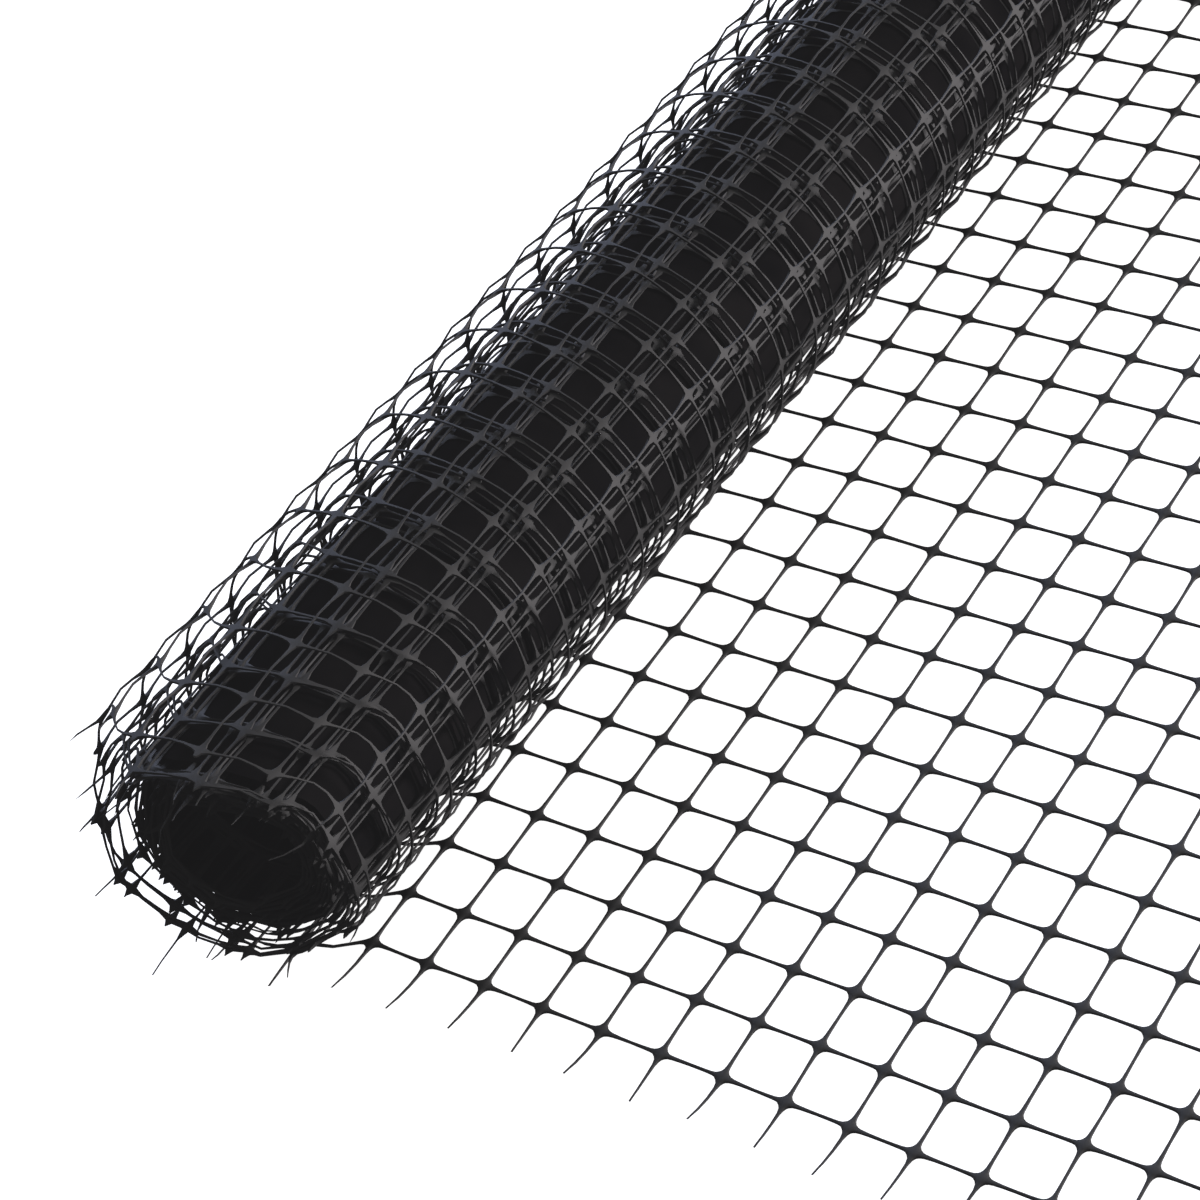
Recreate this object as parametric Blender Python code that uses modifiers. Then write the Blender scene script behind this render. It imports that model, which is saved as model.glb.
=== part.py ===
"""Bird netting roll: black plastic square net wound into an open roll. Its outermost turn hangs
loose round the tight core, and the free end lies flat on the floor beside it.

Metres, +Z up. +Y runs along the roll, away from its near end, and +X is the way the net unrolls.
The origin is the middle of the whole part's footprint, on the floor.
"""

import math

import bmesh
import bpy
from mathutils import Matrix, Vector

MM = 0.001
FULL_TURN = 2 * math.pi

# The net
NET_PITCH = 19.05 * MM  # strand to strand, three quarters of an inch
CUT_PITCH = 2 * NET_PITCH  # the solids hold every second strand
STRAND_WIDTH = 3.2 * MM  # a strand with its junction pads evened out
NET_THICKNESS = 1.6 * MM
STUB_LENGTH = 0.6 * NET_PITCH  # cut strand ends past the outermost strands
GAPS_ACROSS = 16  # from the near edge to the far edge
NET_WIDTH = GAPS_ACROSS * CUT_PITCH

# The roll
LOOSE_RADIUS = 46.4 * MM  # mid-surface of the loose outermost turn
CORE_RADIUS = 39.5 * MM  # mid-surface of the core's first turn
BORE_RADIUS = 21.0 * MM  # mid-surface of the core's last turn
TURN_STEP = 3.4 * MM  # from one turn of the core to the next
CORE_SHIFT = 1.0 * MM  # the core stands this far to the right of the loose turn
LAYER_GAP = 0.6 * MM  # between the loose turn on the floor and the core
FLAT_SPOT = 8.0 * MM  # flat strip that the roll rests on
TIGHTEN_START = math.radians(225)  # wound angle where the loose turn starts to close in
FIRST_STRAND = 0.515 * NET_PITCH  # wound length from the floor to the first strand along the roll
ROLL_FACET = math.radians(15)
BAND_SPACES = 8  # flat stretches along the roll

# Where the net runs off square
SKEW = math.radians(2.5)  # the laid net's rows against the roll
DRIFT = -0.02  # how far the loose turn creeps along the roll, per length wound
END_SLANT = 0.5 * NET_PITCH  # the near end stands out at the lower left, in at the upper right
SLANT_ANGLE = math.radians(240)  # wound angle where the near end is furthest in
SLANT_REACH = 8 * NET_PITCH  # the slant fades out this far along the roll

# The laid end
LAID_GAPS = 8  # from the roll to the cut end
LAID_LENGTH = LAID_GAPS * CUT_PITCH - FIRST_STRAND
NODE_GAP = 0.3 * MM

# The footprint, measured from the near edge's point on the contact line, where the net leaves
# the roll for the floor
LEFT = -LOOSE_RADIUS - NET_THICKNESS / 2
RIGHT = (LAID_LENGTH + STUB_LENGTH) * math.cos(SKEW) + STRAND_WIDTH / 2 * math.sin(SKEW)
NEAR = -STUB_LENGTH - END_SLANT + DRIFT * LOOSE_RADIUS * FULL_TURN
FAR = (NET_WIDTH + STUB_LENGTH) * math.cos(SKEW) + (LAID_LENGTH + STRAND_WIDTH / 2) * math.sin(SKEW)
CONTACT_X = -(LEFT + RIGHT) / 2
CONTACT_Y = -(NEAR + FAR) / 2


def smooth_step(value):
    """0 below 0, 1 above 1 and a smooth rise between."""
    value = min(max(value, 0.0), 1.0)
    return value * value * (3 - 2 * value)


def wound_point(angle):
    """(x, z) of the net's mid-surface at a wound angle, which runs from the contact line up the
    left side, over the top, down the right side and on inwards."""
    slack = 1 - smooth_step((angle - TIGHTEN_START) / (FULL_TURN - TIGHTEN_START))
    core_radius = CORE_RADIUS - TURN_STEP * max(angle - FULL_TURN, 0.0) / FULL_TURN
    core_height = CORE_RADIUS + 1.5 * NET_THICKNESS + LAYER_GAP
    loose_height = LOOSE_RADIUS + NET_THICKNESS / 2
    radius = core_radius + (LOOSE_RADIUS - CORE_RADIUS) * slack
    height = core_height + (loose_height - core_height) * slack
    middle = CONTACT_X + CORE_SHIFT * (1 - slack)
    return middle - radius * math.sin(angle), height - radius * math.cos(angle)


def roll_place(angle, across):
    """The place of the wound net's point at a wound angle and a length across the net."""
    x, z = wound_point(angle)
    if angle <= flat_angle():
        z = NET_THICKNESS / 2
    drift = DRIFT * LOOSE_RADIUS * min(angle, FULL_TURN)
    fade = 1 - smooth_step(across / SLANT_REACH)
    slant = END_SLANT * math.cos(angle - SLANT_ANGLE) * fade
    return Vector((x, CONTACT_Y + across + drift + slant, z))


def laid_place(along, across):
    """The place of the laid net's point, at a length from the contact line and across the net."""
    flat = Matrix.Rotation(SKEW, 4, "Z") @ Vector((along, across, NET_THICKNESS / 2))
    return flat + Vector((CONTACT_X, CONTACT_Y, 0))


def flat_angle():
    """The wound angle where the flat spot ends."""
    return math.asin(FLAT_SPOT / LOOSE_RADIUS)


def strand_lines(first, pitch, count, width):
    """The two edges of each of a row of evenly spaced strands, in one list."""
    middles = [first + index * pitch for index in range(count)]
    return [middle + side * width / 2 for middle in middles for side in (-1, 1)]


def lines_across():
    """The lines along the net's length, and whether the space after each is open."""
    strands = strand_lines(0.0, CUT_PITCH, GAPS_ACROSS + 1, STRAND_WIDTH)
    lines = [-STUB_LENGTH] + strands + [NET_WIDTH + STUB_LENGTH]
    return lines, [index % 2 == 0 for index in range(len(lines) - 1)]


def lines_along_laid_end():
    """The lines across the laid end, and whether the space after each is open."""
    strands = strand_lines(-FIRST_STRAND, CUT_PITCH, LAID_GAPS + 1, STRAND_WIDTH)
    lines = strands + [LAID_LENGTH + STUB_LENGTH]
    return lines, [index % 2 == 1 for index in range(len(lines) - 1)]


def lines_along_roll():
    """The lines across the wound band's length, from its near edge to its far edge."""
    width = NET_WIDTH + 2 * STUB_LENGTH
    return [-STUB_LENGTH + width * index / BAND_SPACES for index in range(BAND_SPACES + 1)]


def angles_round_roll():
    """The wound angles that divide the roll, from the floor to the bore."""
    start = flat_angle()
    end = FULL_TURN * (1 + (CORE_RADIUS - BORE_RADIUS) / TURN_STEP)
    count = round((end - start) / ROLL_FACET)
    return [0.0] + [start + (end - start) * index / count for index in range(count + 1)]


def net_grid(columns, column_open, rows, row_open):
    """A flat grid with its gaps cut out. Each point's x and y are the numbers of its lines."""
    surface = bmesh.new()
    spaces = (len(columns) - 1, len(rows) - 1)
    bmesh.ops.create_grid(surface, x_segments=spaces[0], y_segments=spaces[1], size=0.5)
    for point in surface.verts:
        point.co.x = round((point.co.x + 0.5) * spaces[0])
        point.co.y = round((point.co.y + 0.5) * spaces[1])
    gaps = []
    for face in surface.faces:
        middle = face.calc_center_median()
        if column_open[int(middle.x)] and row_open[int(middle.y)]:
            gaps.append(face)
    bmesh.ops.delete(surface, geom=gaps, context="FACES")
    return surface


def plastic(name, roughness):
    """Black net plastic."""
    material = bpy.data.materials.new(name)
    material.use_nodes = True
    shader = material.node_tree.nodes["Principled BSDF"]
    shader.inputs["Base Color"].default_value = (0.012, 0.012, 0.013, 1)
    shader.inputs["Roughness"].default_value = roughness
    shader.inputs["Metallic"].default_value = 0.0
    return material


def net_object(name, surface, collection, material):
    """An object of the net's thickness, half of it to each side of the surface."""
    bmesh.ops.recalc_face_normals(surface, faces=surface.faces)
    mesh = bpy.data.meshes.new(name)
    surface.to_mesh(mesh)
    surface.free()
    mesh.materials.append(material)
    thing = bpy.data.objects.new(name, mesh)
    collection.objects.link(thing)
    wall = thing.modifiers.new("thickness", "SOLIDIFY")
    wall.thickness = NET_THICKNESS
    wall.offset = 0
    wall.use_even_offset = True
    return thing


def make_roll(collection):
    """The wound net as one spiral band: the loose turn, then the core's turns."""
    rows = lines_along_roll()
    angles = angles_round_roll()
    surface = net_grid(angles, [False] * len(angles), rows, [False] * len(rows))
    for point in surface.verts:
        point.co = roll_place(angles[round(point.co.x)], rows[round(point.co.y)])
    return net_object("net_roll", surface, collection, plastic("roll_plastic", 0.45))


def make_loose_end(collection):
    """The laid net, cut off where it meets the roll."""
    rows, row_open = lines_across()
    columns, column_open = lines_along_laid_end()
    surface = net_grid(columns, column_open, rows, row_open)
    for point in surface.verts:
        point.co = laid_place(columns[round(point.co.x)], rows[round(point.co.y)])
    bmesh.ops.bisect_plane(
        surface,
        geom=surface.verts[:] + surface.edges[:] + surface.faces[:],
        dist=1e-6,
        plane_co=(CONTACT_X + NODE_GAP, 0, 0),
        plane_no=(1, 0, 0),
        clear_inner=True,
    )
    return net_object("loose_end", surface, collection, plastic("laid_plastic", 0.5))


def main():
    for thing in list(bpy.data.objects):
        bpy.data.objects.remove(thing, do_unlink=True)
    collection = bpy.data.collections.new("bird_netting_roll")
    bpy.context.scene.collection.children.link(collection)
    make_roll(collection)
    make_loose_end(collection)


main()
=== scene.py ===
"""Looks of the bird netting roll: every strand of the stretched black plastic net, wound into an open
roll with a loose outermost turn, and its free end laid on the floor.

Metres, +Z up, in the frame of the solids. The net is made flat, as a grid of strands and junction pads
with its length along X, its width along Y and its thickness along Z, and then it is wound.
"""

import bisect
import math
import random

import bmesh
import bpy
from bpy.props import FloatProperty, FloatVectorProperty, IntProperty, PointerProperty
from mathutils import Matrix, Vector, noise


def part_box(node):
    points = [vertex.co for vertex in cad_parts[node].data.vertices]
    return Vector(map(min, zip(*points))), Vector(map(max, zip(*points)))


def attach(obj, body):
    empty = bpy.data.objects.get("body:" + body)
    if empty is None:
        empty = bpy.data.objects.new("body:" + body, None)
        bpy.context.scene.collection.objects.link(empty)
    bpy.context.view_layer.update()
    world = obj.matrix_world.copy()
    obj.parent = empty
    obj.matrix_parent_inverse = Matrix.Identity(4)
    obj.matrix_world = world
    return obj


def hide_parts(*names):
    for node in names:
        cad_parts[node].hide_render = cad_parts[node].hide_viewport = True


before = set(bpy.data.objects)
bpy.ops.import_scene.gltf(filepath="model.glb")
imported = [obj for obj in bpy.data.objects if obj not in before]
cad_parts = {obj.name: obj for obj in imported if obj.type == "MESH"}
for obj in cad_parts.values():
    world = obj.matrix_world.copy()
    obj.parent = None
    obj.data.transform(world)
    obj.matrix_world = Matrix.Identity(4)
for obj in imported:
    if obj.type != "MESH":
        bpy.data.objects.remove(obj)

bl_info = {
    "name": "Bird Netting Roll",
    "version": (1, 0, 0),
    "blender": (4, 5, 0),
    "location": "View3D > Sidebar > Netting",
    "description": "Models a roll of stretched plastic bird net with its free end laid out",
    "category": "Object",
}

MM = 0.001
FULL_TURN = 2 * math.pi
BODY = "root"

# What the solids give
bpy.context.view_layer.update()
ROLL_LOW, ROLL_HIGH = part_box("net_roll")
LAID_LOW, LAID_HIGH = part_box("loose_end")
PAD_THICKNESS = LAID_HIGH.z - LAID_LOW.z
LOOSE_RADIUS = (ROLL_HIGH.z - PAD_THICKNESS) / 2  # the middle of the loose outermost turn

# The net's count
ROWS = 32  # pitches from the near edge to the far edge
LAID_COLUMNS = 16  # strands across the laid end
FIRST_COLUMN = 0.515  # pitches wound before the first strand along the roll

# The wound form, as in the solids
CORE_RADIUS = 39.5 * MM
BORE_RADIUS = 21.0 * MM
CORE_SHIFT = 1.0 * MM
LAYER_GAP = 0.6 * MM
TIGHTEN_START = math.radians(225)
SKEW = math.radians(2.5)
DRIFT = -0.02  # how far the loose turn creeps along the roll, per length wound
ROLL_SLACK = 4.5 * MM  # length taken up by the loose turn's waves
FLOOR_CLEARANCE = 0.3 * MM  # no point of the wound net lies lower
TABLE_STEP = math.radians(2)  # of the table of wound lengths
SKEW_FADE = 7.0  # pitches wound until the strands run parallel to the roll
EDGE_REACH = 6.0  # pitches along the roll until the near edge's run fades out

# The near edge's run: wound degrees, and pitches along the roll. The laid net takes up its last
# stretch, so that the edge carries on smoothly from the roll to the floor
NEAR_EDGE = (
    (0, -0.66),
    (30, -0.86),
    (62, -0.95),
    (88, -0.66),
    (103, -0.28),
    (135, -0.20),
    (165, -0.86),
    (192, -0.62),
    (212, -0.32),
    (235, 0.12),
    (260, 0.02),
    (324, 0.0),
    (341, -0.36),
    (360, -0.66),
)
CORE_EDGE = 0.6  # how much of that run the core keeps
CORE_SPREAD = -0.10  # pitches from one turn of the core to the next, past the near end
SPREAD_TURNS = 6.0  # turns of the core that spread

# Slack stretches of the core's first turns, on the left side: the middle and half the length, both in
# turns past the loose one, and how far the stretch stands off the core
SLACK_STRETCHES = ((0.27, 0.30, 5.0 * MM), (1.27, 0.27, 3.2 * MM), (2.27, 0.24, 1.6 * MM))

# Unevenness
LAID_RIPPLE = 0.9 * MM  # how far the laid net lifts off the floor
CORE_BOW = 0.35 * MM  # how far strands along the roll bow out between the rows
LOOSE_BOW = 1.5 * MM
BOW_SETTLE = 0.35  # the share of the bow that lies below the mean surface
LAYER_ROUGHNESS = 0.55 * MM
LAYER_WANDER = 2.4 * MM  # how far the core's rows wander along the roll
STRAND_SWAY = 0.45 * MM
STRAND_UNEVENNESS = 0.14  # of a strand's width

# Junctions and strands, in pitches from a junction's centre
SWELL_REACH = 0.5  # where a strand is at its finest
FILLET_REACH = 0.2
PAD_REACH = 0.3  # where a junction's extra thickness ends
PAD_EDGE = 0.075  # a junction's rim is as thick as a strand here
STUB = 0.6  # the stubs' usual length
STUB_START = 0.12
CUT_LAP = 0.54  # a cut piece ends here, just past the middle of the gap

# How much wider a strand is at its junction than at its finest
SWELL = 1.50
OUTER_SWELL = 1.70  # a strand along the net, on the side that points away from the roll
INNER_SWELL = 1.25

# The wound net's junctions against the laid net's
WOUND_CORNER = 0.76
WOUND_PAD = 0.75

# Cut strand ends: the spans of their lengths, in stubs, and of their bends along the net and off it
LAID_STUBS = ((1.35, 1.6), (-0.12, 0.03), (0.0, 0.1))
LONG_STUBS = ((0.5, 1.4), (-0.3, 0.3), (-0.3, 0.3))
SHORT_STUBS = (0.22, 0.34)
LOOSE_LONG_SHARE = 0.5  # the share of cut ends that stick out
CORE_LONG_SHARE = 0.13
STUB_WIDTH = 0.85  # a cut end's width where it starts, as a share of its strand's
STUB_TAPER = 0.15  # the share that it loses towards the tip
SHARP_ANGLE = math.radians(42)  # edges sharper than this aren't smoothed

# Painted shade: a closed dark sheet among the core's middle turns, standing in for the shade deep inside the
# roll
SHADE_BAND_TURNS = (4.2, 5.35)  # turns past the loose one
SHADE_BAND_RECESS = 0.2  # pitches from each end
SHADE_BAND_SPACES = 60  # round the band
SHADE_BAND_THICKNESS = 0.3 * MM

# The studio
FLOOR_REACH = 4.0  # from the middle to the floor's sides
WORLD_STRENGTH = 0.08
BLACK_LEVEL = (-0.0095, -0.0093, -0.0098)  # lifts black to the photograph's deepest tone
CAMERA_RIGHT = (0.8089, 0.5535, -0.1981)
CAMERA_BACK = (0.5121, -0.4979, 0.6999)
LIGHT_AIM = (-0.1, 0.0, 0.05)
LIGHTS = (  # name, place, width, watts, colour
    ("overhead", (0.1, 0.5, 2.6), 2.6, 14, (1.0, 1.0, 1.0)),
    ("back_left", (-1.7, 1.2, 1.15), 1.3, 42, (0.66, 0.74, 1.0)),
    ("low_right", (1.85, 1.15, 0.25), 0.45, 85, (1.0, 0.95, 0.97)),
)


def smooth_step(value):
    """0 below 0, 1 above 1 and a smooth rise between."""
    value = min(max(value, 0.0), 1.0)
    return value * value * (3 - 2 * value)


def hump(value):
    """1 at 0, 0 beyond 1 on either side, smooth."""
    return math.cos(value * math.pi / 2) ** 2 if abs(value) < 1 else 0.0


def wave(x, y, z=0.0):
    """Smooth noise, about -1 to 1."""
    return noise.noise(Vector((x, y, z)))


def on_curve(table, value):
    """A table's smoothly interpolated height at this value."""
    for (start, low), (end, high) in zip(table, table[1:]):
        if value <= end:
            return low + (high - low) * smooth_step((value - start) / (end - start))
    return table[-1][1]


class NetSizes(bpy.types.PropertyGroup):
    """Sizes of the net and of its winding."""

    pitch: FloatProperty(
        name="Mesh", description="From strand to strand", default=19.05 * MM, unit="LENGTH"
    )
    strand_width: FloatProperty(
        name="Strand width", description="At the middle of a strand", default=0.90 * MM, unit="LENGTH"
    )
    strand_thickness: FloatProperty(
        name="Strand thickness",
        description="At the middle of a strand",
        default=1.05 * MM,
        unit="LENGTH",
    )
    pad_corner: FloatProperty(
        name="Pad corner",
        description="From a junction's centre to a gap's corner, along the net",
        default=1.42 * MM,
        unit="LENGTH",
    )
    wound_share: FloatProperty(
        name="Wound share",
        description="How thick the wound net looks against the laid net",
        default=0.63,
        min=0.1,
        subtype="FACTOR",
    )
    turn_step: FloatProperty(
        name="Turn step",
        description="From one turn of the core to the next",
        default=1.23 * MM,
        unit="LENGTH",
    )
    seed: IntProperty(name="Seed", description="Changes the unevenness of the net", default=7)


class NetLooks(bpy.types.PropertyGroup):
    """Finish of the plastic."""

    dark: FloatVectorProperty(
        name="Dark plastic",
        description="Its darker tone",
        default=(0.0020, 0.0019, 0.0023),
        subtype="COLOR",
    )
    pale: FloatVectorProperty(
        name="Scuffed plastic",
        description="Its paler tone",
        default=(0.0060, 0.0054, 0.0056),
        subtype="COLOR",
    )
    gloss: FloatProperty(
        name="Roughness", description="Mean roughness", default=0.26, min=0.0, max=1.0, subtype="FACTOR"
    )


class StageLooks(bpy.types.PropertyGroup):
    """Floor, light and camera."""

    floor: FloatVectorProperty(
        name="Floor", description="Colour of the floor", default=(0.93, 0.93, 0.93), subtype="COLOR"
    )
    lens: FloatProperty(name="Lens", description="Focal length in millimetres", default=99.2, min=1.0)
    camera_place: FloatVectorProperty(
        name="Camera",
        description="Where the camera stands",
        default=(0.3931, -0.6611, 0.6971),
        unit="LENGTH",
    )


def sizes():
    """The sizes in the sidebar."""
    return bpy.context.scene.net_sizes


# Where the net lies


class Winding:
    """Turns the flat net into the roll and its laid end.

    A place on the flat net is how far it lies past the contact line along the net, how far across,
    and how far above its middle surface. Behind the contact line the net climbs the left side of the
    roll, passes over the top, comes down the right side and winds inwards.
    """

    def __init__(self):
        size = sizes()
        self.pitch = size.pitch
        self.step = size.turn_step
        self.contact_x = ROLL_LOW.x + LOOSE_RADIUS + PAD_THICKNESS / 2
        reach_near = (STUB + 0.5) * self.pitch - DRIFT * LOOSE_RADIUS * FULL_TURN
        self.contact_y = ROLL_LOW.y + reach_near
        turns = 1 + (CORE_RADIUS - BORE_RADIUS) / self.step
        count = int(turns * FULL_TURN / TABLE_STEP)
        self.angles = [index * TABLE_STEP for index in range(count + 1)]
        self.lengths = [0.0]
        for angle in self.angles[1:]:
            self.lengths.append(self.lengths[-1] + self.circle(angle)[2] * TABLE_STEP)

    def circle(self, angle):
        """(x, z, radius) of the circle that the net follows at this wound angle."""
        slack = 1 - smooth_step((angle - TIGHTEN_START) / (FULL_TURN - TIGHTEN_START))
        inner = max(angle - FULL_TURN, 0.0) / FULL_TURN
        core_radius = CORE_RADIUS - self.step * inner
        core_height = CORE_RADIUS + 1.5 * PAD_THICKNESS + LAYER_GAP
        loose_height = LOOSE_RADIUS + PAD_THICKNESS / 2
        radius = core_radius + (LOOSE_RADIUS - CORE_RADIUS) * slack
        height = core_height + (loose_height - core_height) * slack
        radius += self.slack_turns(inner)
        return self.contact_x + CORE_SHIFT * (1 - slack), height, radius

    def slack_turns(self, inner):
        """How far the core's first turns stand off it on the left side."""
        return sum(height * hump((inner - middle) / reach) for middle, reach, height in SLACK_STRETCHES)

    def length_at(self, angle):
        """The wound length at a wound angle."""
        return self.lengths[round(angle / TABLE_STEP)]

    def angle_at(self, length):
        """The wound angle at a wound length."""
        if length <= 0:
            return 0.0
        index = bisect.bisect_right(self.lengths, length) - 1
        if index >= len(self.lengths) - 1:
            return self.angles[-1] + (length - self.lengths[-1]) / BORE_RADIUS
        start, end = self.lengths[index], self.lengths[index + 1]
        return self.angles[index] + TABLE_STEP * (length - start) / (end - start)

    def columns_wound(self):
        """How many strands along the roll are wound up."""
        return int((self.lengths[-1] - FIRST_COLUMN * self.pitch) / self.pitch)

    def laid(self, along, across, height):
        ripple = 0.5 + 0.5 * wave(along / 0.07, across / 0.09, 3.0)
        clear = smooth_step(along / (3 * self.pitch))
        x = along * math.cos(SKEW) - across * math.sin(SKEW)
        y = along * math.sin(SKEW) + across * math.cos(SKEW)
        y += self.near_edge(-along / LOOSE_RADIUS, across) if along < 1.5 * self.pitch else 0.0
        z = PAD_THICKNESS / 2 + LAID_RIPPLE * ripple * clear + height
        return Vector((self.contact_x + x, self.contact_y + y, z))

    def wound(self, length, across, height):
        angle = self.angle_at(length)
        x, z, radius = self.circle(angle)
        turns = angle / FULL_TURN
        inner = max(turns - 1, 0.0)
        # strands along the roll bow out between the rows, more where the turn is loose
        row = across / self.pitch
        bow = 0.5 - 0.5 * math.cos(row * FULL_TURN)
        loose = smooth_step(length / (2 * self.pitch)) * (1 - smooth_step(inner / 0.8))
        radius += (CORE_BOW + (LOOSE_BOW - CORE_BOW) * loose) * (bow - BOW_SETTLE)
        # unevenness from layer to layer
        rough = LAYER_ROUGHNESS * smooth_step(length / (3 * self.pitch))
        radius += rough * wave(angle * 3.1, across / 0.031, 9.0)
        climb = radius - height
        swing = -math.sin(angle), -math.cos(angle)
        y = self.contact_y + across / math.cos(SKEW) + self.creep(length, angle, across)
        return Vector((x + swing[0] * climb, y, max(z + swing[1] * climb, FLOOR_CLEARANCE)))

    def creep(self, length, angle, across):
        """How far the wound net has moved along the roll."""
        drift = DRIFT * min(length, LOOSE_RADIUS * FULL_TURN)
        inner = max(angle / FULL_TURN - 1, 0.0)
        edge = self.near_edge(angle, across) * (1 - (1 - CORE_EDGE) * smooth_step((inner - 1) / 3))
        past_end = smooth_step(across / (EDGE_REACH * self.pitch))
        spread = CORE_SPREAD * min(inner, SPREAD_TURNS) * self.pitch * past_end
        uneven = LAYER_WANDER * wave(angle * 0.9, across / 0.11, 21.0) * smooth_step(2 * inner)
        return drift + edge + spread + uneven

    def near_edge(self, angle, across):
        """How far the near edge's run moves the net along the roll."""
        fade = 1 - smooth_step(across / (EDGE_REACH * self.pitch))
        return on_curve(NEAR_EDGE, math.degrees(angle) % 360) * fade * self.pitch

    def place(self, along, across, height):
        """The place in the frame of a point of the flat net."""
        contact = across * math.tan(SKEW)
        past = along - contact
        if past >= 0:
            return self.laid(along, across, height)
        length = -past - contact * smooth_step(-past / (SKEW_FADE * self.pitch))
        length -= ROLL_SLACK * smooth_step(length / (8 * self.pitch))
        return self.wound(length, across, height)


# The flat net


class Section:
    """The lines that make a strand and its half of the gap beside it, from the strand's middle out.

    shares: each line's share of the strand's half width, and heights: of its half thickness.
    stops: where the lines past the strand lie, in pitches from its middle.
    """

    def __init__(self, shares, heights, stops):
        self.shares = shares
        self.heights = heights
        self.stops = stops
        self.edge = len(shares) - 1


ROUND_STRANDS = Section((0.0, 0.707, 1.0), (1.0, 0.72, 0.0), (0.118, 0.175, 0.305, 0.5))
FLAT_STRANDS = Section((0.0, 0.76, 1.0), (1.0, 0.93, 0.0), (0.125, 0.27, 0.5))
FLAT_FEW_STRANDS = Section((0.0, 0.76, 1.0), (1.0, 0.93, 0.0), (0.2, 0.5))
PLAIN_STRANDS = Section((0.0, 1.0), (1.0, 0.0), (0.235, 0.5))
LEAN_STRANDS = Section((0.0, 1.0), (1.0, 0.0), (0.5,))


class Line:
    """One line of the flat net's grid: its strand, its place past that strand, and its rank."""

    def __init__(self, strand, rank, side, offset, is_tip=False):
        self.strand = strand
        self.rank = rank
        self.side = side
        self.offset = offset
        self.is_tip = is_tip


def grid_lines(section, first, last, start, end):
    """The lines of the strands numbered first to last. start and end say how the net ends there:
    with stubs, or cut in the middle of a gap where the next piece carries on."""
    lines = []
    for strand in range(first, last + 1):
        for side in (-1, 1):
            outer = []
            is_last = (side < 0 and strand == first) or (side > 0 and strand == last)
            ending = (start if side < 0 else end) if is_last else None
            for number, stop in enumerate(section.stops):
                outer.append(Line(strand, section.edge + 1 + number, side, side * stop))
            if ending == "stub":
                outer[-1].offset = side * STUB * 0.75
                outer.append(Line(strand, outer[-1].rank + 1, side, side * STUB, True))
            elif ending == "cut":
                outer.append(Line(strand, outer[-1].rank + 1, side, side * CUT_LAP, True))
            elif side < 0:
                outer.pop()  # the strand before already has the line in the middle of the gap
            inner = [Line(strand, rank, side, 0.0) for rank in range(1, section.edge + 1)]
            if side < 0:
                lines += outer[::-1] + inner[::-1] + [Line(strand, 0, 0, 0.0)]
            else:
                lines += inner + outer
    return lines


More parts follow.
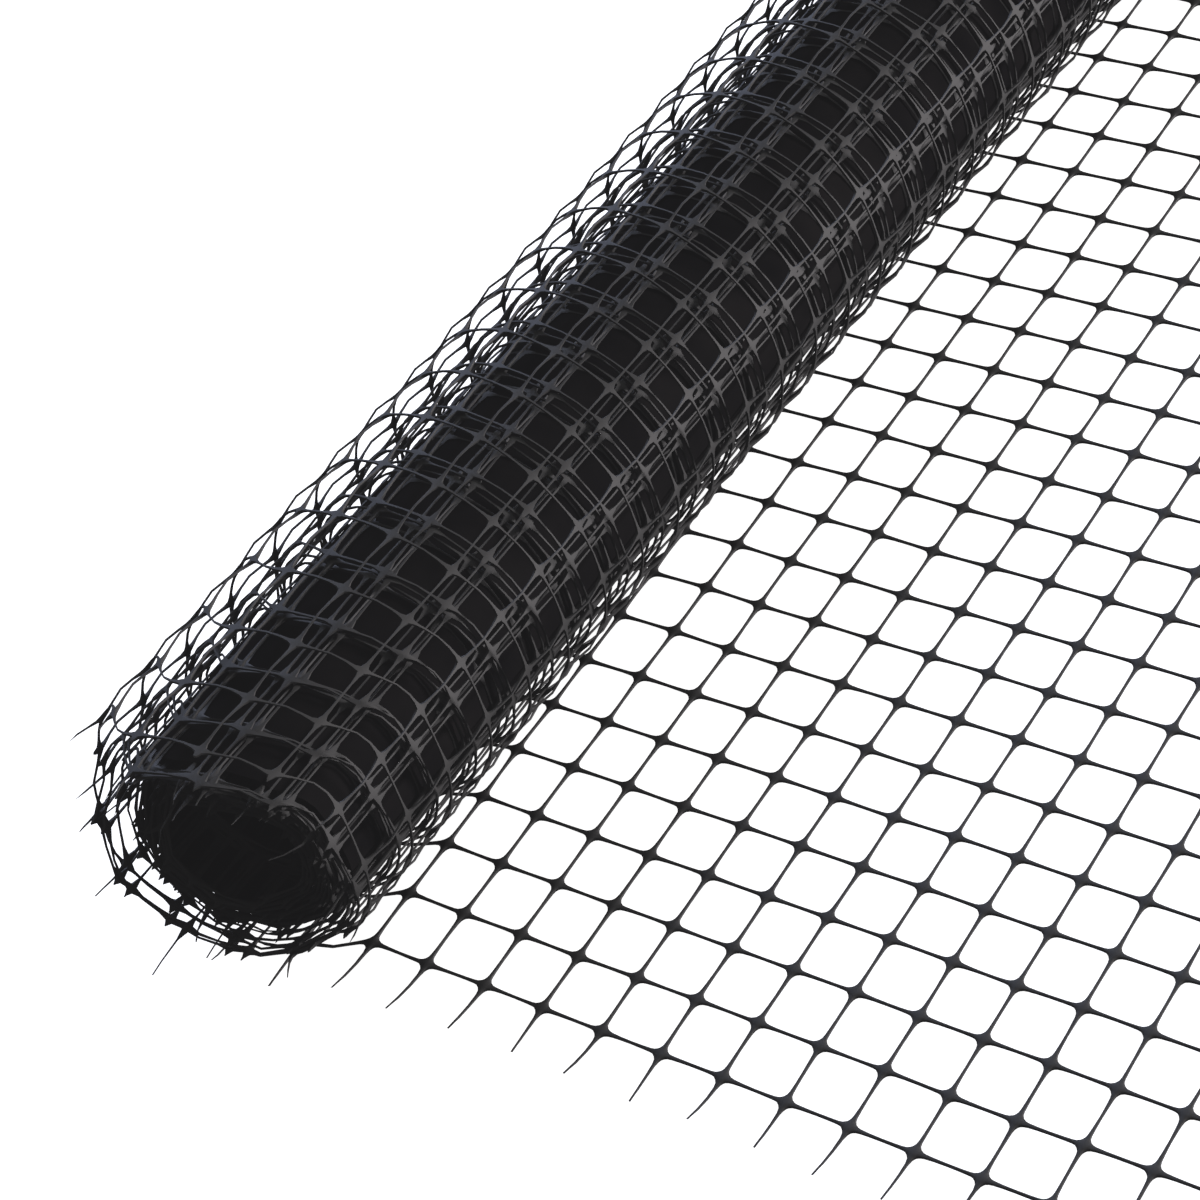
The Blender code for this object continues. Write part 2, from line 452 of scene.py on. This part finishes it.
class FlatNet:
    """The net between two of its strands across, as it was made."""

    def __init__(self, section, first, last, start, end):
        size = sizes()
        self.section = section
        self.pitch = size.pitch
        self.is_laid = first > 0
        share = 1.0 if self.is_laid else size.wound_share
        self.corner = size.pad_corner * (1.0 if self.is_laid else WOUND_CORNER)
        self.width = size.strand_width / 2 * share
        self.thickness = size.strand_thickness / 2 * share
        self.pad = PAD_THICKNESS / 2 * (1.0 if self.is_laid else WOUND_PAD)
        self.columns = grid_lines(section, first, last, start, end)
        self.rows = grid_lines(section, 0, ROWS, "stub", "stub")
        self.chance = random.Random(size.seed + first)
        self.stubs = {}
        self.long_share = LOOSE_LONG_SHARE if last == 0 else CORE_LONG_SHARE

    def half_width(self, offset, heavy):
        """A strand's half width at this distance from the junction, in pitches. A heavy strand is
        wider on the side that points away from the roll."""
        reach = abs(offset)
        swell = (OUTER_SWELL if offset > 0 else INNER_SWELL) if heavy else SWELL
        strand = self.width * (1 + (swell - 1) * (1 - smooth_step(reach / SWELL_REACH)))
        if reach >= FILLET_REACH:
            return strand
        fillet = min(1.6 * (1 - reach / FILLET_REACH) ** 2, 1.0)
        return strand + (self.corner - strand) * fillet

    def half_thickness(self, offset):
        swell = 1 - smooth_step(abs(offset) / PAD_REACH)
        return self.thickness + (self.pad - self.thickness) * swell

    def stub(self, kind, number, side):
        """(length, bend along the net, bend off it) of one cut strand end, each as a share."""
        key = (kind, number, side)
        if key not in self.stubs:
            draw = self.chance
            if self.is_laid:
                self.stubs[key] = [draw.uniform(*span) for span in LAID_STUBS]
            elif draw.random() < self.long_share:
                self.stubs[key] = [draw.uniform(*span) for span in LONG_STUBS]
            else:
                self.stubs[key] = draw.uniform(*SHORT_STUBS), 0.0, 0.0
        return self.stubs[key]

    def flat_place(self, column, row):
        """(along, across, height) of the point where two lines cross."""
        section = self.section
        edge = section.edge
        along = (column.strand - FIRST_COLUMN) * self.pitch
        across = row.strand * self.pitch
        lift = 0.0
        on_column = column.rank <= edge
        on_row = row.rank <= edge
        if on_column and on_row:
            along += column.side * section.shares[column.rank] * self.corner
            across += row.side * section.shares[row.rank] * self.corner
            if edge in (column.rank, row.rank):
                height = self.half_thickness(PAD_EDGE)
                height *= section.heights[min(column.rank, row.rank)] if column.rank != row.rank else 0.0
            else:
                height = self.pad * (1 - 0.05 * (column.rank + row.rank))
        elif on_row:
            reach, bend, lift, thin = self.run_out("row", row.strand, column)
            half = self.half_width(column.offset, True) * thin
            half *= 1 + STRAND_UNEVENNESS * wave(row.strand * 3.7, along / 0.02 + column.offset * 3)
            along += reach
            across += row.side * section.shares[row.rank] * half + bend
            height = self.half_thickness(column.offset) * section.heights[row.rank] * thin
        else:
            reach, bend, lift, thin = self.run_out("column", column.strand, row)
            half = self.half_width(row.offset, False) * thin
            half *= 1 + STRAND_UNEVENNESS * wave(column.strand * 3.7, across / 0.02 + row.offset * 3, 5.0)
            across += reach
            along += column.side * section.shares[column.rank] * half + bend
            height = self.half_thickness(row.offset) * section.heights[column.rank] * thin
        if column.is_tip or row.is_tip:
            height = 0.0
        return along, across, height, lift

    def run_out(self, kind, number, line):
        """How far a point lies past its junction, how far its strand end has bent along the net and
        off it, and how much thinner it is there."""
        reach = abs(line.offset)
        if reach < STUB_START or not self.on_stub(kind, line):
            return line.offset * self.pitch, 0.0, 0.0, 1.0
        length, sideways, off = self.stub(kind, number, line.side)
        past = (reach - STUB_START) / (STUB - STUB_START)
        reach = STUB_START + past * max(length * STUB - STUB_START, 0.02)
        bent = reach * past * self.pitch
        thin = STUB_WIDTH - STUB_TAPER * past
        return line.side * reach * self.pitch, sideways * bent, off * bent, thin

    def on_stub(self, kind, line):
        lines = self.columns if kind == "row" else self.rows
        last = lines[-1] if line.side > 0 else lines[0]
        return last.strand == line.strand and abs(last.offset) >= STUB

    def surface(self):
        """The net's mesh, flat: along X, across Y, its thickness along Z, with the height that each
        strand end has bent off the net in its own layer."""
        mesh = bmesh.new()
        spaces = (len(self.columns) - 1, len(self.rows) - 1)
        bmesh.ops.create_grid(mesh, x_segments=spaces[0], y_segments=spaces[1], size=0.5)
        column_solid = [self.is_solid(self.columns, index) for index in range(spaces[0])]
        row_solid = [self.is_solid(self.rows, index) for index in range(spaces[1])]
        for point in mesh.verts:
            point.co.x = round((point.co.x + 0.5) * spaces[0])
            point.co.y = round((point.co.y + 0.5) * spaces[1])
        gaps = []
        for face in mesh.faces:
            middle = face.calc_center_median()
            if not column_solid[int(middle.x)] and not row_solid[int(middle.y)]:
                gaps.append(face)
        bmesh.ops.delete(mesh, geom=gaps, context="FACES")
        lifts = mesh.verts.layers.float.new("lift")
        for point in mesh.verts:
            place = self.flat_place(self.columns[round(point.co.x)], self.rows[round(point.co.y)])
            point.co = place[:3]
            point[lifts] = place[3]
        bmesh.ops.mirror(mesh, geom=mesh.verts[:] + mesh.edges[:] + mesh.faces[:], merge_dist=1e-7, axis="Z")
        return mesh

    def is_solid(self, lines, index):
        """Whether the space after this line lies on a strand."""
        edge = self.section.edge
        return lines[index].rank <= edge and lines[index + 1].rank <= edge


def wind(mesh, winding):
    """Lays or winds a flat net's points in place."""
    lifts = mesh.verts.layers.float["lift"]
    for point in mesh.verts:
        along, across, height = point.co
        sway = STRAND_SWAY * wave(along / 0.03, across / 0.03, 40.0)
        slip = STRAND_SWAY * wave(along / 0.03, across / 0.03, 60.0)
        point.co = winding.place(along + sway, across + slip, height + point[lifts])
    bmesh.ops.recalc_face_normals(mesh, faces=mesh.faces)


def net_piece(name, winding, flat_net, node):
    """One stretch of net as an object that stands for a CAD node."""
    surface = flat_net.surface()
    wind(surface, winding)
    return finished_piece(name, surface, node, net_plastic("net_plastic", 1.0))


def finished_piece(name, surface, node, material):
    """An object of this surface that stands for a CAD node."""
    data = bpy.data.meshes.new(name)
    surface.to_mesh(data)
    surface.free()
    data.shade_smooth()
    data.set_sharp_from_angle(angle=SHARP_ANGLE)
    data.materials.append(material)
    piece = bpy.data.objects.new(name, data)
    bpy.context.scene.collection.objects.link(piece)
    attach(piece, BODY)
    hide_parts(node)
    return piece


def shade_band_piece(winding):
    """A closed dark sheet with no reflection among the core's middle turns, as painted shade: it stands in
    for the shade deep inside the roll, where the packed turns let no light through, as one dark band. It
    stands back from both ends of the roll."""
    start = winding.length_at(FULL_TURN * (1 + SHADE_BAND_TURNS[0]))
    end = winding.length_at(FULL_TURN * (1 + SHADE_BAND_TURNS[1]))
    near = SHADE_BAND_RECESS * winding.pitch
    far = (ROWS - SHADE_BAND_RECESS) * winding.pitch
    spaces = (SHADE_BAND_SPACES, 2 * ROWS)
    mesh = bmesh.new()
    bmesh.ops.create_grid(mesh, x_segments=spaces[0], y_segments=spaces[1], size=0.5)
    for point in mesh.verts:
        across = near + (far - near) * (point.co.y + 0.5)
        along = -start - (end - start) * (point.co.x + 0.5)
        point.co = along, across, 0.0 if point.is_boundary else SHADE_BAND_THICKNESS / 2
    bmesh.ops.mirror(mesh, geom=mesh.verts[:] + mesh.edges[:] + mesh.faces[:], merge_dist=1e-7, axis="Z")
    for point in mesh.verts:
        along, across, height = point.co
        point.co = winding.wound(-along, across, height - 0.5 * winding.step)
    bmesh.ops.recalc_face_normals(mesh, faces=mesh.faces)
    # painted shade: the sheet's plastic has no reflection at all, so it stays dark under every lamp
    return finished_piece("painted_shade_band", mesh, "net_roll", net_plastic("painted_shade_plastic", 0.0))


# Materials


def add_node(tree, kind, **inputs):
    node = tree.nodes.new(kind)
    for name, value in inputs.items():
        node.inputs[name.replace("_", " ")].default_value = value
    return node


def noise_texture(tree, place, scale, detail):
    texture = add_node(tree, "ShaderNodeTexNoise", Scale=scale, Detail=detail, Roughness=0.55)
    tree.links.new(place.outputs["Object"], texture.inputs["Vector"])
    return texture.outputs["Fac"]


def mapped(tree, value, low, high, start=0.3, end=0.7):
    """value, run from start to end, as a number from low to high."""
    span = tree.nodes.new("ShaderNodeMapRange")
    span.inputs["From Min"].default_value = start
    span.inputs["From Max"].default_value = end
    span.inputs["To Min"].default_value = low
    span.inputs["To Max"].default_value = high
    tree.links.new(value, span.inputs["Value"])
    return span.outputs["Result"]


def net_plastic(name, shine):
    """Stretched black plastic with dull scuffs. shine runs from 0, no reflection at all, as on the painted
    shade sheet, to 1, a soft gloss.
    """
    if name in bpy.data.materials:
        return bpy.data.materials[name]
    looks = bpy.context.scene.net_looks
    material = bpy.data.materials.new(name)
    material.use_nodes = True
    tree = material.node_tree
    shader = tree.nodes["Principled BSDF"]
    place = tree.nodes.new("ShaderNodeTexCoord")
    tone = tree.nodes.new("ShaderNodeMix")
    tone.data_type = "RGBA"
    tone.inputs[6].default_value = (*looks.dark, 1)
    tone.inputs[7].default_value = (*looks.pale, 1)
    tree.links.new(mapped(tree, noise_texture(tree, place, 45, 3), 0, 1), tone.inputs["Factor"])
    tree.links.new(tone.outputs[2], shader.inputs["Base Color"])
    rough = mapped(tree, noise_texture(tree, place, 220, 2), looks.gloss - 0.05, looks.gloss + 0.10)
    tree.links.new(rough, shader.inputs["Roughness"])
    bump = add_node(tree, "ShaderNodeBump", Strength=0.1, Distance=0.0002)
    tree.links.new(noise_texture(tree, place, 900, 2), bump.inputs["Height"])
    tree.links.new(bump.outputs["Normal"], shader.inputs["Normal"])
    shader.inputs["IOR"].default_value = 1.5
    shader.inputs["Specular IOR Level"].default_value = 0.45 * shine
    return material


def floor_finish():
    """Pale, matt table, lit from below as well, so that hardly a shadow shows."""
    material = bpy.data.materials.new("studio_floor")
    material.use_nodes = True
    tree = material.node_tree
    shader = tree.nodes["Principled BSDF"]
    shader.inputs["Base Color"].default_value = (*bpy.context.scene.stage_looks.floor, 1)
    shader.inputs["Roughness"].default_value = 0.9
    shader.inputs["Specular IOR Level"].default_value = 0.1
    shader.inputs["Emission Color"].default_value = (1.0, 1.0, 1.0, 1)
    shader.inputs["Emission Strength"].default_value = 1.0
    return material


# The pieces


class NETTING_OT_laid_end(bpy.types.Operator):
    """Adds the free end, laid flat beside the roll"""

    bl_idname = "netting.laid_end"
    bl_label = "Laid End"

    def execute(self, context):
        winding = Winding()
        flat_net = FlatNet(ROUND_STRANDS, 1, LAID_COLUMNS, "cut", "stub")
        piece = net_piece("laid_net", winding, flat_net, "loose_end")
        return {"FINISHED"}


class NETTING_OT_loose_turn(bpy.types.Operator):
    """Adds the outermost turn, which hangs loose round the core"""

    bl_idname = "netting.loose_turn"
    bl_label = "Loose Turn"

    def execute(self, context):
        flat_net = FlatNet(FLAT_STRANDS, -14, 0, "cut", "cut")
        net_piece("loose_turn", Winding(), flat_net, "net_roll")
        return {"FINISHED"}


class NETTING_OT_core(bpy.types.Operator):
    """Adds the core's turns, in four stretches from the outside in"""

    bl_idname = "netting.core"
    bl_label = "Core"

    def execute(self, context):
        winding = Winding()
        stretches = (
            ("core_first_turns", -34, -15, FLAT_FEW_STRANDS, "cut"),
            ("core_second_turns", -55, -35, FLAT_FEW_STRANDS, "cut"),
            ("core_outer_turns", -84, -56, PLAIN_STRANDS, "cut"),
            ("core_inner_turns", -winding.columns_wound(), -85, LEAN_STRANDS, "stub"),
        )
        for name, first, last, section, start in stretches:
            net_piece(name, winding, FlatNet(section, first, last, start, "cut"), "net_roll")
        # painted shade: a dark sheet stands in for the shade among the core's middle turns
        shade_band_piece(winding)
        return {"FINISHED"}


def soft_light(name, place, width, watts, colour):
    data = bpy.data.lights.new(name, "AREA")
    data.shape = "DISK"
    data.size = width
    data.energy = watts
    data.color = colour
    light = bpy.data.objects.new(name, data)
    light.location = place
    light.rotation_mode = "QUATERNION"
    light.rotation_quaternion = (Vector(place) - Vector(LIGHT_AIM)).to_track_quat("Z", "Y")
    bpy.context.scene.collection.objects.link(light)


def photo_camera():
    """A camera with the photograph's lens, place and angle."""
    looks = bpy.context.scene.stage_looks
    right = Vector(CAMERA_RIGHT).normalized()
    back = Vector(CAMERA_BACK).normalized()
    up = back.cross(right).normalized()
    right = up.cross(back)
    turn = Matrix((right, up, back)).transposed().to_4x4()
    data = bpy.data.cameras.new("photo_camera")
    data.lens = looks.lens
    data.sensor_width = 36.0
    data.clip_start = 0.01
    data.clip_end = 50.0
    camera = bpy.data.objects.new("photo_camera", data)
    camera.matrix_world = Matrix.Translation(looks.camera_place) @ turn
    bpy.context.scene.collection.objects.link(camera)
    bpy.context.scene.camera = camera


class NETTING_OT_stage(bpy.types.Operator):
    """Adds the pale floor, the soft light and the camera"""

    bl_idname = "netting.stage"
    bl_label = "Stage"

    def execute(self, context):
        surface = bmesh.new()
        bmesh.ops.create_grid(surface, x_segments=1, y_segments=1, size=FLOOR_REACH)
        data = bpy.data.meshes.new("floor")
        surface.to_mesh(data)
        surface.free()
        data.materials.append(floor_finish())
        floor = bpy.data.objects.new("floor", data)
        context.scene.collection.objects.link(floor)
        # the table's white light stays off the black net
        floor.visible_diffuse = False
        floor.visible_glossy = False
        world = bpy.data.worlds.new("studio")
        world.use_nodes = True
        sky = world.node_tree.nodes["Background"]
        sky.inputs["Color"].default_value = (1.0, 1.0, 1.0, 1)
        sky.inputs["Strength"].default_value = WORLD_STRENGTH
        context.scene.world = world
        for light in LIGHTS:
            soft_light(*light)
        photo_camera()
        view = context.scene.view_settings
        view.view_transform = "Standard"
        view.use_curve_mapping = True
        view.curve_mapping.black_level = BLACK_LEVEL
        view.curve_mapping.update()
        return {"FINISHED"}


class NETTING_PT_sidebar(bpy.types.Panel):
    """Lists the roll's sizes, finishes and pieces"""

    bl_idname = "NETTING_PT_sidebar"
    bl_label = "Bird Netting Roll"
    bl_space_type = "VIEW_3D"
    bl_region_type = "UI"
    bl_category = "Netting"

    def draw(self, context):
        layout = self.layout
        for group in (context.scene.net_sizes, context.scene.net_looks, context.scene.stage_looks):
            box = layout.box()
            for name in group.__annotations__:
                box.prop(group, name)
        for operator in PIECES:
            layout.operator(operator.bl_idname)


GROUPS = (NetSizes, NetLooks, StageLooks)
PIECES = (NETTING_OT_laid_end, NETTING_OT_loose_turn, NETTING_OT_core, NETTING_OT_stage)
CLASSES = GROUPS + PIECES + (NETTING_PT_sidebar,)


def register():
    for item in CLASSES:
        bpy.utils.register_class(item)
    bpy.types.Scene.net_sizes = PointerProperty(type=NetSizes)
    bpy.types.Scene.net_looks = PointerProperty(type=NetLooks)
    bpy.types.Scene.stage_looks = PointerProperty(type=StageLooks)


def unregister():
    del bpy.types.Scene.stage_looks
    del bpy.types.Scene.net_looks
    del bpy.types.Scene.net_sizes
    for item in reversed(CLASSES):
        bpy.utils.unregister_class(item)


def main():
    register()
    bpy.ops.netting.laid_end()
    bpy.ops.netting.loose_turn()
    bpy.ops.netting.core()
    bpy.ops.netting.stage()


if __name__ == "__main__":
    main()
